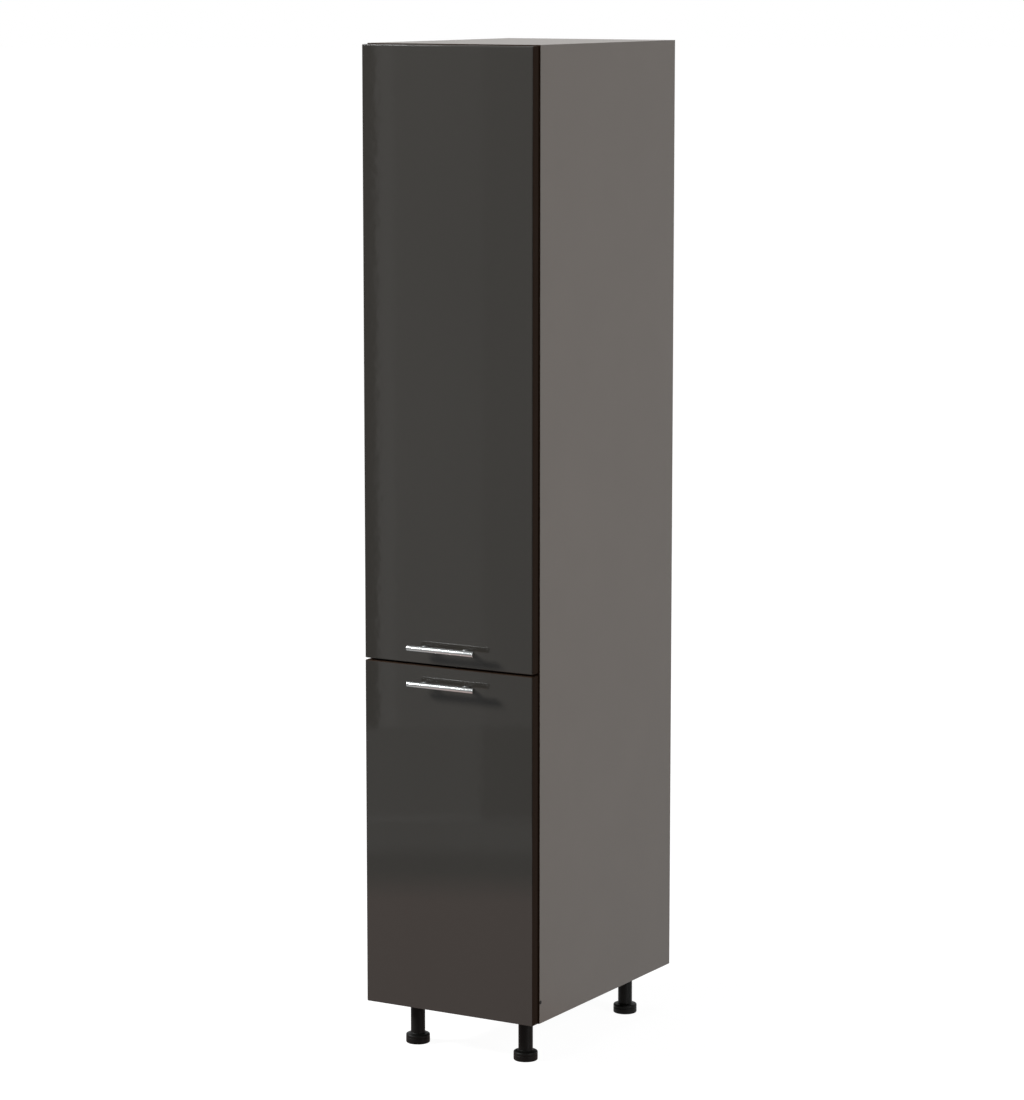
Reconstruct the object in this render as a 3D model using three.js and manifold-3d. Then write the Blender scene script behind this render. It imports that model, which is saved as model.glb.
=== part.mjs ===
// Pull-out larder unit: a tall, narrow cabinet on four adjustable legs. A lower and an upper front
// are fixed to one steel frame, which carries five wire baskets and runs on a telescopic runner
// under it and another above it, so both fronts and all the baskets come out together.
//
// Millimetres. X runs to the right as seen from the front, Y towards the back, Z up. Pieces are
// placed from the cabinet's lower front edge, and the finished group is then moved so that its
// origin lies on the floor under the middle of the unit.

import * as THREE from 'three';
import { mergeVertices } from 'three/addons/utils/BufferGeometryUtils.js';
import Module from 'manifold-3d';

// ---- Driving dimensions ----------------------------------------------------------------------

// Cabinet
const cabinetWidth = 400;
const cabinetDepth = 560;
const cabinetHeight = 1970;
const boardThickness = 18;
const backThickness = 8;
const backVoid = 16;             // between the back panel and the cabinet's rear edges
const backGrooveDepth = 8;       // grooves in the side panels that hold the back panel
const fixingRailHeight = 80;
const fitGap = 0.3;              // around a piece that sits in a hole, groove or seat
const overrun = 1;               // a cutter past the face that it opens, a rod into what it joins

// Black plugs in the outer faces of the side panels, low down at the front edge
const plugDiameter = 8;
const plugDepth = 6;
const plugFromFront = 5.5;
const plugFromBottom = 44;

// Soft buffers on the side panels' front edges
const bufferDiameter = 10;
const bufferFromEnd = 75;

// Legs: a socket under the base panel with a stud, and a foot that turns up and down on it
const legHeight = 100;
const legInset = 70;             // leg axis from the cabinet's sides and back
const legFromFront = 66;         // front leg's axis from the front edges
const footDiameter = 50;
const footThickness = 20;
const footEdge = 2;              // chamfer
const stemDiameter = 30;
const studDiameter = 12;
const studLength = 46;
const stemBoreExtra = 2;         // the stem's bore is deeper than the stud is long
const socketDiameter = 60;
const socketThickness = 4;
const collarDiameter = 40;
const collarHeight = 8;

// Telescopic runners: a fixed, a middle and a moving member, one inside the other
const runnerFromFront = 8;
const runnerFromBack = 28;       // rear end to the back panel
const runnerGap = 0.5;           // running clearance between two members
const runnerLift = 2;            // from the fixed member's lips to the frame
const bottomRunnerWidth = 90;
const bottomRunnerHeight = 30;
const bottomRunnerWall = 2.5;
const bottomRunnerLip = 12;
const topRunnerWidth = 64;
const topRunnerHeight = 22;
const topRunnerWall = 2;
const topRunnerLip = 8;
const runnerStemClearance = 4;   // from the moving member's stem to the lips on each side

// Frame
const frameFromSide = 22;        // to the inner faces of the side panels
const frameFromRunnerEnd = 18;   // frame's rear face to the runners' rear ends
const framePlateThickness = 2.5;
const frameFlangeHeight = 14;
const uprightWidth = 20;
const uprightDepth = 25;
const uprightWall = 2;

// Fronts
const frontThickness = 22;
const frontStandOff = 2;         // from the fronts' backs to the cabinet
const frontSideReveal = 2;
const frontTopReveal = 2;
const frontGap = 4;              // between the two fronts
const lowerFrontHeight = 719;
const frontEdgeRadius = 2.5;
const bracketHeight = 40;
const bracketThickness = 3;
const bracketFromFrontEnd = 100; // bracket's middle to the front's top or bottom edge

// Bar handles
const handleLength = 156;
const handleDiameter = 12;
const handleEdge = 0.6;          // chamfer at the bar's ends
const handleHoleSpacing = 96;
const handleProjection = 35;     // from the front's face to the bar's outside
const handleFromGap = 35;        // bar axis to the front's edge at the gap
const postDiameter = 10;
const screwDiameter = 4;
const screwHeadDiameter = 8;
const screwHeadHeight = 2.4;
const screwIntoPost = 12;

// Baskets
const basketCount = 5;
const basketHeight = 96;
const basketLift = 10;           // lowest basket above the frame's base
const basketHeadroom = 240;      // above the highest basket
const basketCornerRadius = 14;
const railDiameter = 6;
const wireDiameter = 4;
const middleRailHeight = 52;     // rail axis above the basket's underside
const sideWireCount = 4;         // upright wires on each long side
const endWireCount = 2;          // upright wires on each short side
const endWireSpacing = 90;
const floorWireCount = 4;
const hangerWidth = 46;
const hangerThickness = 3;
const weldDepth = 1;             // a hanger plate overlaps the rails by this
const linerThickness = 8;
const linerClearance = 2;        // to the upright wires
const linerCornerRadius = 10;

// Roundness
const turnedSides = 20;
const handleSides = 16;
const railSides = 6;
const wireSides = 4;
const cornerSteps = 3;

// ---- Levels and places worked out from them --------------------------------------------------

const innerHalfWidth = cabinetWidth / 2 - boardThickness;
const floorLevel = boardThickness;
const ceilingLevel = cabinetHeight - boardThickness;
const backFace = cabinetDepth - backVoid - backThickness;

const runnerFront = runnerFromFront;
const runnerRear = backFace - runnerFromBack;

const bracketFront = -frontStandOff;
const frameFront = bracketFront + bracketThickness;
const frameRear = runnerRear - frameFromRunnerEnd;
const frameHalfWidth = innerHalfWidth - frameFromSide;
const frameBottom = floorLevel + bottomRunnerHeight + runnerLift;
const frameTop = ceilingLevel - topRunnerHeight - runnerLift;
const uprightBottom = frameBottom + framePlateThickness;
const uprightTop = frameTop - framePlateThickness;

const frontBack = -frontStandOff;
const frontFace = frontBack - frontThickness;
const frontHalfWidth = cabinetWidth / 2 - frontSideReveal;
const upperFrontBottom = lowerFrontHeight + frontGap;
const upperFrontTop = cabinetHeight - frontTopReveal;

const handleAxis = frontFace - handleProjection + handleDiameter / 2;
const lowerHandleLevel = lowerFrontHeight - handleFromGap;
const upperHandleLevel = upperFrontBottom + handleFromGap;

const basketFront = frameFront + uprightDepth;
const basketRear = frameRear - uprightDepth;
const lowestBasket = uprightBottom + basketLift;
const highestBasket = uprightTop - basketHeadroom - basketHeight;
const basketPitch = (highestBasket - lowestBasket) / (basketCount - 1);

// ---- Finishes --------------------------------------------------------------------------------

function finish(color, roughness, metalness) {
  return new THREE.MeshStandardMaterial({ color, roughness, metalness });
}

const glossGraphite = finish(0x403f3c, 0.12, 0);
const taupeBoard = finish(0x6b6560, 0.65, 0);
const blackPlastic = finish(0x1a1918, 0.5, 0);
const greyRubber = finish(0x3a3a3a, 0.8, 0);
const zincSteel = finish(0xaeb2b6, 0.4, 1);
const silverPaint = finish(0x9a9c9e, 0.45, 0.4);
const brightChrome = finish(0xd8dadc, 0.12, 1);
const paleLiner = finish(0xb9b8b4, 0.7, 0);

// ---- Geometry helpers ------------------------------------------------------------------------

const wasm = await Module();
wasm.setup();

// A closed three.js geometry as a solid that can be joined and cut.
function toSolid(geometry) {
  const bare = geometry.clone();
  bare.deleteAttribute('normal');
  bare.deleteAttribute('uv');
  const merged = mergeVertices(bare, 1e-4);
  return new wasm.Manifold(new wasm.Mesh({
    numProp: 3,
    vertProperties: new Float32Array(merged.attributes.position.array),
    triVerts: new Uint32Array(merged.index.array),
  }));
}

function toGeometry(solid) {
  const mesh = solid.getMesh();
  const geometry = new THREE.BufferGeometry();
  geometry.setAttribute('position', new THREE.BufferAttribute(mesh.vertProperties, 3));
  geometry.setIndex(new THREE.BufferAttribute(mesh.triVerts, 1));
  const faceted = geometry.toNonIndexed();
  faceted.computeVertexNormals();
  return faceted;
}

function cut(geometry, cutters) {
  let solid = toSolid(geometry);
  for (const cutter of cutters) solid = solid.subtract(toSolid(cutter));
  return toGeometry(solid);
}

function join(geometries) {
  let solid = toSolid(geometries[0]);
  for (const geometry of geometries.slice(1)) solid = solid.add(toSolid(geometry));
  return toGeometry(solid);
}

function block(x, y, z) {
  const geometry = new THREE.BoxGeometry(x[1] - x[0], y[1] - y[0], z[1] - z[0]);
  return geometry.translate((x[0] + x[1]) / 2, (y[0] + y[1]) / 2, (z[0] + z[1]) / 2);
}

function outline(points) {
  return new THREE.Shape(points.map(([u, v]) => new THREE.Vector2(u, v)));
}

// A section drawn in X and Z, carried from y0 to y1.
function alongY(section, y0, y1) {
  const geometry = new THREE.ExtrudeGeometry(section, {
    depth: y1 - y0, bevelEnabled: false, curveSegments: cornerSteps,
  });
  return geometry.rotateX(Math.PI / 2).translate(0, y1, 0);
}

// A section drawn in X and Y, carried from z0 to z1.
function alongZ(section, z0, z1) {
  const geometry = new THREE.ExtrudeGeometry(section, {
    depth: z1 - z0, bevelEnabled: false, curveSegments: cornerSteps,
  });
  return geometry.translate(0, 0, z0);
}

// A profile of [radius, height] turned about Z.
function turned(profile, sides) {
  return new THREE.LatheGeometry(profile.map(([r, h]) => new THREE.Vector2(r, h)), sides)
    .rotateX(Math.PI / 2);
}

// A round rod of one diameter between two points.
function rod(from, to, diameter, sides) {
  const start = new THREE.Vector3(...from);
  const axis = new THREE.Vector3(...to).sub(start);
  const length = axis.length();
  const turn = new THREE.Quaternion().setFromUnitVectors(new THREE.Vector3(0, 1, 0), axis.normalize());
  return new THREE.CylinderGeometry(diameter / 2, diameter / 2, length, sides)
    .translate(0, length / 2, 0).applyQuaternion(turn).translate(...from);
}

// Points [x, y, outward x, outward y] round a rectangle with arcs for corners, anticlockwise.
function roundedRectangle(halfX, halfY, radius, steps) {
  const points = [];
  for (let corner = 0; corner < 4; corner += 1) {
    const signX = corner === 0 || corner === 3 ? 1 : -1;
    const signY = corner < 2 ? 1 : -1;
    for (let step = 0; step <= steps; step += 1) {
      const angle = (corner + step / steps) * Math.PI / 2;
      const nx = Math.cos(angle);
      const ny = Math.sin(angle);
      points.push([signX * (halfX - radius) + radius * nx, signY * (halfY - radius) + radius * ny, nx, ny]);
    }
  }
  return points;
}

// Skins a stack of rings that all have the same number of points. A closed stack joins its last
// ring to its first, and an open one is capped at both ends.
function skin(rings, closed) {
  const count = rings[0].length;
  const positions = rings.flat(2);
  const triangles = [];
  const gaps = closed ? rings.length : rings.length - 1;
  for (let ring = 0; ring < gaps; ring += 1) {
    const here = ring * count;
    const next = ((ring + 1) % rings.length) * count;
    for (let i = 0; i < count; i += 1) {
      const j = (i + 1) % count;
      triangles.push(here + i, here + j, next + j, here + i, next + j, next + i);
    }
  }
  const last = (rings.length - 1) * count;
  for (let i = 1; i < count - 1 && !closed; i += 1) {
    triangles.push(0, i + 1, i, last, last + i, last + i + 1);
  }
  const geometry = new THREE.BufferGeometry();
  geometry.setAttribute('position', new THREE.Float32BufferAttribute(positions, 3));
  geometry.setIndex(triangles);
  const faceted = geometry.toNonIndexed();
  faceted.computeVertexNormals();
  return faceted;
}

// A wire bent into a flat rectangle with round corners.
function wireRing(halfX, halfY, level, diameter, sides) {
  const path = roundedRectangle(halfX, halfY, basketCornerRadius, cornerSteps);
  const rings = path.map(([x, y, nx, ny]) => {
    const ring = [];
    for (let side = 0; side < sides; side += 1) {
      const angle = side / sides * 2 * Math.PI;
      const out = Math.cos(angle) * diameter / 2;
      ring.push([x + nx * out, y + ny * out, level - Math.sin(angle) * diameter / 2]);
    }
    return ring;
  });
  return skin(rings, true);
}

const unit = new THREE.Group();

function add(name, geometry, material, place = [0, 0, 0]) {
  const mesh = new THREE.Mesh(geometry, material);
  mesh.name = name;
  mesh.position.set(...place);
  unit.add(mesh);
}

// ---- Cabinet ---------------------------------------------------------------------------------

const sides = [['left', -1], ['right', 1]];

// The panel's plan, with the groove for the back panel in its inner face. It is drawn for the
// right side, where the inner face is the one with the smaller x.
function sidePanelPlan(sign) {
  const outer = cabinetWidth / 2;
  const grooveFloor = innerHalfWidth + backGrooveDepth;
  const plan = [
    [outer, 0], [outer, cabinetDepth], [innerHalfWidth, cabinetDepth],
    [innerHalfWidth, backFace + backThickness + fitGap], [grooveFloor, backFace + backThickness + fitGap],
    [grooveFloor, backFace - fitGap], [innerHalfWidth, backFace - fitGap], [innerHalfWidth, 0],
  ];
  return outline(plan.map(([x, y]) => [sign * x, y]));
}

function plugAxis(sign, outerX, depth, diameter) {
  const outside = [sign * outerX, plugFromFront, plugFromBottom];
  const inside = [sign * (outerX - depth), plugFromFront, plugFromBottom];
  return rod(inside, outside, diameter, handleSides);
}

function addCabinet() {
  const outer = cabinetWidth / 2;
  for (const [side, sign] of sides) {
    const panel = alongZ(sidePanelPlan(sign), 0, cabinetHeight);
    const holeDepth = plugDepth + fitGap;
    const holeStart = outer + fitGap;
    const hole = plugAxis(sign, holeStart, holeDepth + fitGap, plugDiameter + 2 * fitGap);
    add(`side_panel_${side}`, cut(panel, [hole]), taupeBoard);
    add(`edge_plug_${side}`, plugAxis(sign, outer, plugDepth, plugDiameter), blackPlastic);
  }
  const inside = [-innerHalfWidth, innerHalfWidth];
  const fullDepth = [0, cabinetDepth];
  add('base_panel', block(inside, fullDepth, [0, floorLevel]), taupeBoard);
  add('top_panel', block(inside, fullDepth, [ceilingLevel, cabinetHeight]), taupeBoard);
  const backHalfWidth = innerHalfWidth + backGrooveDepth - fitGap;
  const backDepth = [backFace, backFace + backThickness];
  const backPanel = block([-backHalfWidth, backHalfWidth], backDepth, [floorLevel, ceilingLevel]);
  add('back_panel', backPanel, taupeBoard);
  const railDepth = [backFace + backThickness, cabinetDepth];
  const upperRail = block(inside, railDepth, [ceilingLevel - fixingRailHeight, ceilingLevel]);
  const lowerRail = block(inside, railDepth, [floorLevel, floorLevel + fixingRailHeight]);
  add('upper_fixing_rail', upperRail, taupeBoard);
  add('lower_fixing_rail', lowerRail, taupeBoard);
}

function addBuffers() {
  const x = cabinetWidth / 2 - boardThickness / 2;
  const levels = [['lower', bufferFromEnd], ['upper', cabinetHeight - bufferFromEnd]];
  for (const [side, sign] of sides) {
    for (const [end, z] of levels) {
      const tip = [sign * x, fitGap - frontStandOff, z];
      const buffer = rod([sign * x, 0, z], tip, bufferDiameter, handleSides);
      add(`front_buffer_${end}_${side}`, buffer, greyRubber);
    }
  }
}

// ---- Legs ------------------------------------------------------------------------------------

// Heights below are from the cabinet's underside, so they are negative.
const collarBottom = -socketThickness - collarHeight;
const stemTop = collarBottom - fitGap;

function legSocket() {
  return turned([
    [0, collarBottom - studLength], [studDiameter / 2, collarBottom - studLength],
    [studDiameter / 2, collarBottom], [collarDiameter / 2, collarBottom],
    [collarDiameter / 2, -socketThickness], [socketDiameter / 2, -socketThickness],
    [socketDiameter / 2, 0], [0, 0],
  ], turnedSides);
}

function foot() {
  const outer = footDiameter / 2;
  const stem = stemDiameter / 2;
  const bore = studDiameter / 2 + fitGap;
  const boreFloor = collarBottom - studLength - stemBoreExtra;
  const padTop = footThickness - legHeight;
  return turned([
    [0, -legHeight], [outer - footEdge, -legHeight], [outer, -legHeight + footEdge],
    [outer, padTop - footEdge], [outer - footEdge, padTop], [stem, padTop],
    [stem, stemTop], [bore, stemTop], [bore, boreFloor], [0, boreFloor],
  ], turnedSides);
}

function addLegs() {
  const rows = [['front', legFromFront], ['rear', cabinetDepth - legInset]];
  for (const [row, y] of rows) {
    for (const [side, sign] of sides) {
      const place = [sign * (cabinetWidth / 2 - legInset), y, 0];
      add(`leg_socket_${row}_${side}`, legSocket(), blackPlastic, place);
      add(`foot_${row}_${side}`, foot(), blackPlastic, place);
    }
  }
}

// ---- Telescopic runners ----------------------------------------------------------------------

// Section of a channel whose open side has inward lips. It stands on level 0 and opens upwards.
function channelSection(width, height, base, wall, lip) {
  const outer = width / 2;
  const inner = outer - wall;
  const slot = inner - lip;
  const top = base + height;
  const half = [
    [outer, base], [outer, top], [slot, top], [slot, top - wall], [inner, top - wall], [inner, base + wall],
  ];
  const mirrored = half.map(([x, z]) => [-x, z]).reverse();
  return [...half, ...mirrored];
}

// Section of the moving member: a folded sheet that fills the middle member, with a stem that
// rises through the slot to the frame.
function movingSection(width, base, shoulder, top, wall, stem) {
  const outer = width / 2;
  const outside = [
    [outer, base], [outer, shoulder], [stem, shoulder], [stem, top],
  ];
  const inside = [
    [stem - wall, top - wall], [stem - wall, shoulder - wall], [outer - wall, shoulder - wall],
    [outer - wall, base],
  ];
  const mirror = (points) => points.map(([x, z]) => [-x, z]).reverse();
  return [...outside, ...mirror(outside), ...mirror(inside), ...inside];
}

// One set of three members. Seat is the face that the fixed member is screwed to, and direction
// is 1 where the set opens upwards and -1 where it hangs and opens downwards.
function addRunner(name, { width, height, wall, lip }, seat, direction) {
  const step = wall + runnerGap;
  const middleWidth = width - 2 * step;
  const middleHeight = height - 2 * step;
  const movingWidth = middleWidth - 2 * step;
  const middleTop = step + middleHeight;
  const stem = middleWidth / 2 - wall - lip - runnerStemClearance;
  const members = {
    fixed: channelSection(width, height, 0, wall, lip),
    middle: channelSection(middleWidth, middleHeight, step, wall, lip),
    moving: movingSection(movingWidth, 2 * step, middleTop - step, height + runnerLift, wall, stem),
  };
  for (const [member, section] of Object.entries(members)) {
    const placed = section.map(([x, z]) => [x, seat + direction * z]);
    add(`${name}_runner_${member}`, alongY(outline(placed), runnerFront, runnerRear), zincSteel);
  }
}

function addRunners() {
  const bottomSize = {
    width: bottomRunnerWidth, height: bottomRunnerHeight, wall: bottomRunnerWall, lip: bottomRunnerLip,
  };
  const topSize = {
    width: topRunnerWidth, height: topRunnerHeight, wall: topRunnerWall, lip: topRunnerLip,
  };
  addRunner('bottom', bottomSize, floorLevel, 1);
  addRunner('top', topSize, ceilingLevel, -1);
}

// ---- Frame -----------------------------------------------------------------------------------

// A plate with its long edges folded away from the baskets.
function addFramePlate(name, face, foldDirection) {
  const outer = frameHalfWidth;
  const inner = outer - framePlateThickness;
  const flat = face + foldDirection * framePlateThickness;
  const fold = face + foldDirection * frameFlangeHeight;
  const section = [
    [-outer, face], [outer, face], [outer, fold], [inner, fold], [inner, flat],
    [-inner, flat], [-inner, fold], [-outer, fold],
  ];
  add(name, alongY(outline(section), frameFront, frameRear), silverPaint);
}

function uprightTube() {
  const section = outline([
    [0, 0], [uprightWidth, 0], [uprightWidth, uprightDepth], [0, uprightDepth],
  ]);
  const bore = [
    [uprightWall, uprightWall], [uprightWidth - uprightWall, uprightWall],
    [uprightWidth - uprightWall, uprightDepth - uprightWall], [uprightWall, uprightDepth - uprightWall],
  ];
  section.holes.push(new THREE.Path(bore.map(([x, y]) => new THREE.Vector2(x, y))));
  return alongZ(section, uprightBottom, uprightTop);
}

function addFrame() {
  addFramePlate('frame_base', uprightBottom, -1);
  addFramePlate('frame_top', uprightTop, 1);
  const rows = [['front', frameFront], ['rear', frameRear - uprightDepth]];
  for (const [row, y] of rows) {
    add(`upright_${row}_left`, uprightTube(), silverPaint, [-frameHalfWidth, y, 0]);
    add(`upright_${row}_right`, uprightTube(), silverPaint, [frameHalfWidth - uprightWidth, y, 0]);
  }
}

// ---- Fronts and handles ----------------------------------------------------------------------

// A board with square back edges and rounded front edges, standing from z0 to z1.
function frontBoard(z0, z1) {
  const halfHeight = (z1 - z0) / 2;
  const ringAt = (y, inset) => {
    const path = roundedRectangle(frontHalfWidth - inset, halfHeight - inset, frontEdgeRadius, cornerSteps);
    return path.map(([x, z]) => [x, y, (z0 + z1) / 2 + z]);
  };
  const rings = [ringAt(frontBack, 0)];
  for (let step = 0; step <= cornerSteps; step += 1) {
    const angle = step / cornerSteps * Math.PI / 2;
    const inset = frontEdgeRadius * (1 - Math.cos(angle));
    rings.push(ringAt(frontFace + frontEdgeRadius * (1 - Math.sin(angle)), inset));
  }
  return skin(rings, false);
}

function screwHole(x, level) {
  const ahead = [x, frontFace - overrun, level];
  const behind = [x, frontBack + overrun, level];
  return rod(ahead, behind, screwDiameter + 2 * fitGap, handleSides);
}

function addFront(name, z0, z1, handleLevel) {
  const half = handleHoleSpacing / 2;
  const holes = [screwHole(-half, handleLevel), screwHole(half, handleLevel)];
  add(`${name}_front`, cut(frontBoard(z0, z1), holes), glossGraphite);
  const levels = [['bottom', z0 + bracketFromFrontEnd], ['top', z1 - bracketFromFrontEnd]];
  for (const [end, level] of levels) {
    const height = [level - bracketHeight / 2, level + bracketHeight / 2];
    const bracket = block([-frameHalfWidth, frameHalfWidth], [bracketFront, frameFront], height);
    add(`${name}_bracket_${end}`, bracket, zincSteel);
  }
}

function handleBar(level) {
  const radius = handleDiameter / 2;
  const half = handleLength / 2;
  const bar = turned([
    [0, -half], [radius - handleEdge, -half], [radius, -half + handleEdge],
    [radius, half - handleEdge], [radius - handleEdge, half], [0, half],
  ], handleSides);
  return bar.rotateY(Math.PI / 2).translate(0, handleAxis, level);
}

// A post from the front's face to the bar, hollowed to sit against the bar and bored for its screw.
function handlePost(x, level) {
  const post = rod([x, frontFace, level], [x, handleAxis, level], postDiameter, handleSides);
  const bore = rod(
    [x, frontFace + overrun, level], [x, frontFace - screwIntoPost - fitGap, level],
    screwDiameter + 2 * fitGap, handleSides,
  );
  const saddle = rod(
    [x - postDiameter, handleAxis, level], [x + postDiameter, handleAxis, level],
    handleDiameter + 2 * fitGap, 2 * handleSides,
  );
  return cut(post, [bore, saddle]);
}

function handleScrew(x, level) {
  const shank = rod(
    [x, frontBack + overrun, level], [x, frontFace - screwIntoPost, level], screwDiameter, handleSides,
  );
  const head = rod(
    [x, frontBack, level], [x, frontBack + screwHeadHeight, level], screwHeadDiameter, handleSides,
  );
  return join([shank, head]);
}

function addHandle(name, level) {
  add(`${name}_handle_bar`, handleBar(level), brightChrome);
  for (const [side, sign] of sides) {
    const x = sign * handleHoleSpacing / 2;
    add(`${name}_handle_post_${side}`, handlePost(x, level), brightChrome);
    add(`${name}_handle_screw_${side}`, handleScrew(x, level), zincSteel);
  }
}

function addFronts() {
  addFront('lower', 0, lowerFrontHeight, lowerHandleLevel);
  addFront('upper', upperFrontBottom, upperFrontTop, upperHandleLevel);
  addHandle('lower', lowerHandleLevel);
  addHandle('upper', upperHandleLevel);
}

// ---- Baskets ---------------------------------------------------------------------------------

// Evenly spaced places, count of them, from -reach to reach.
function spread(count, reach) {
  const places = [];
  for (let i = 0; i < count; i += 1) places.push(-reach + 2 * reach * i / (count - 1));
  return places;
}

const basketMiddle = (basketFront + basketRear) / 2;
const railHalfX = frameHalfWidth - railDiameter / 2;
const railHalfY = (basketRear - basketFront) / 2 - hangerThickness + weldDepth - railDiameter / 2;
const floorRingLevel = railDiameter / 2;
const topRailLevel = basketHeight - railDiameter / 2;

function basket() {
  const pieces = [
    wireRing(railHalfX, railHalfY, topRailLevel, railDiameter, railSides),
    wireRing(railHalfX, railHalfY, middleRailHeight, railDiameter, wireSides),
    wireRing(railHalfX, railHalfY, floorRingLevel, railDiameter, wireSides),
  ];
  const wire = (from, to) => pieces.push(rod(from, to, wireDiameter, wireSides));
  const sideReach = railHalfY - basketCornerRadius - wireDiameter;
  for (const sign of [-1, 1]) {
    for (const y of spread(sideWireCount, sideReach)) {
      wire([sign * railHalfX, y, floorRingLevel], [sign * railHalfX, y, topRailLevel]);
    }
    for (const x of spread(endWireCount, endWireSpacing / 2)) {
      wire([x, sign * railHalfY, floorRingLevel], [x, sign * railHalfY, topRailLevel]);
    }
  }
  for (const y of spread(floorWireCount, sideReach * (floorWireCount - 1) / (floorWireCount + 1))) {
    wire([-railHalfX, y, floorRingLevel], [railHalfX, y, floorRingLevel]);
  }
  const reach = (basketRear - basketFront) / 2;
  for (const end of [-1, 1]) {
    for (const side of [-1, 1]) {
      const x = [side * frameHalfWidth, side * (frameHalfWidth - hangerWidth)].sort((a, b) => a - b);
      const y = [end * reach, end * (reach - hangerThickness)].sort((a, b) => a - b);
      pieces.push(block(x, y, [0, basketHeight]));
    }
  }
  return join(pieces);
}

function liner() {
  const clear = wireDiameter / 2 + linerClearance;
  const path = roundedRectangle(railHalfX - clear, railHalfY - clear, linerCornerRadius, cornerSteps);
  const bottom = floorRingLevel + wireDiameter / 2 + fitGap;
  return alongZ(outline(path.map(([x, y]) => [x, y])), bottom, bottom + linerThickness);
}

function addBaskets() {
  for (let i = 0; i < basketCount; i += 1) {
    const place = [0, basketMiddle, lowestBasket + i * basketPitch];
    add(`basket_${i + 1}`, basket(), brightChrome, place);
    add(`basket_liner_${i + 1}`, liner(), paleLiner, place);
  }
}

// ---- The unit --------------------------------------------------------------------------------

addCabinet();
addBuffers();
addLegs();
addRunners();
addFrame();
addFronts();
addBaskets();

const foremost = frontFace - handleProjection;
unit.position.set(0, -(foremost + cabinetDepth) / 2, legHeight);

export default unit;
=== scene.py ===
"""A tall pull-out larder unit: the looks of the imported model.

The frame gives the place and the outer size of each piece, and what is added to it is named here. New
pieces are surfaces worked out with numpy, in metres, with their place in their mesh. +Z is up, the
fronts face -Y, and +X is to the right seen from the front.
"""

import math

import bmesh
import bpy
import numpy as np
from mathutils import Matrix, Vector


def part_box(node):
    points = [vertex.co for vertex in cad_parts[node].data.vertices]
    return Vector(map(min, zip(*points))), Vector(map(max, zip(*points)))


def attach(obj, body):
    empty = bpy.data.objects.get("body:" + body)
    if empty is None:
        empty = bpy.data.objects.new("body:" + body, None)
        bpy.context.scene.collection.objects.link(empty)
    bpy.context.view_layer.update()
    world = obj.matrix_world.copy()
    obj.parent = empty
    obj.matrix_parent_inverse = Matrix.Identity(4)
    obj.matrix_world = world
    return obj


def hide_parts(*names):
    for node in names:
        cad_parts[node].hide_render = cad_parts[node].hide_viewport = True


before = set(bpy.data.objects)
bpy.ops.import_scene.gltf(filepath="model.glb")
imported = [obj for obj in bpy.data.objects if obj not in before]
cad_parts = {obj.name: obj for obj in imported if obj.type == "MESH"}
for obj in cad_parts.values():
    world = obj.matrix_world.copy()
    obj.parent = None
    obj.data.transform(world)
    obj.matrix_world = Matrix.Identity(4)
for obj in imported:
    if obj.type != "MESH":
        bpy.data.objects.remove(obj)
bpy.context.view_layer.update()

MM = 0.001
SIDES = ("left", "right")
ROWS = ("front", "rear")
FRONTS = ("lower", "upper")
BASKETS = range(1, 1 + sum(node.startswith("basket_liner_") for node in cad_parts))


# ---- Camera ----------------------------------------------------------------------------------

# The camera that was fitted to the corners of the fronts and the cabinet in the photograph.
CAMERA_PLACE = (4.0181, -6.8595, 2.2330)
CAMERA_YAW = math.radians(30.428)
CAMERA_PITCH = math.radians(8.643)
FOCAL_PIXELS = 3878.1
IMAGE_HEIGHT = 1100                 # pixels
SENSOR = 36.0                       # millimetres, over the image's height
SIGHT_LIMIT = 100.0


def make_camera():
    """The fitted camera: its lens is the focal length in pixels times the size of a pixel."""
    data = bpy.data.cameras.new("camera")
    data.sensor_width = SENSOR
    data.lens = FOCAL_PIXELS * SENSOR / IMAGE_HEIGHT
    data.clip_end = SIGHT_LIMIT
    camera = bpy.data.objects.new("camera", data)
    camera.location = CAMERA_PLACE
    camera.rotation_euler = (math.pi / 2 - CAMERA_PITCH, 0.0, CAMERA_YAW)
    bpy.context.scene.collection.objects.link(camera)
    bpy.context.scene.camera = camera


# ---- Shader maths ----------------------------------------------------------------------------

RAYS = ("Camera", "Glossy", "Transmission")
MIX_COLORS, MIX_RESULT = (6, 7), 2  # the places of a Mix node's colour sockets, which share names


class Value:
    """A socket that arithmetic turns into Math nodes."""

    def __init__(self, tree, socket):
        self.tree = tree
        self.socket = socket

    def apply(self, operation, *others):
        """What a Math node makes of this value and the others, which may be numbers."""
        node = self.tree.nodes.new("ShaderNodeMath")
        node.operation = operation
        for slot, item in zip(node.inputs, (self, *others)):
            if isinstance(item, Value):
                self.tree.links.new(item.socket, slot)
            else:
                slot.default_value = item
        return Value(self.tree, node.outputs[0])

    def __add__(self, other):
        return self.apply("ADD", other)

    __radd__ = __add__

    def __mul__(self, other):
        return self.apply("MULTIPLY", other)

    __rmul__ = __mul__

    def __sub__(self, other):
        return self.apply("SUBTRACT", other)

    def __rsub__(self, other):
        return (self * -1.0) + other

    def __abs__(self):
        return self.apply("ABSOLUTE")


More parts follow.
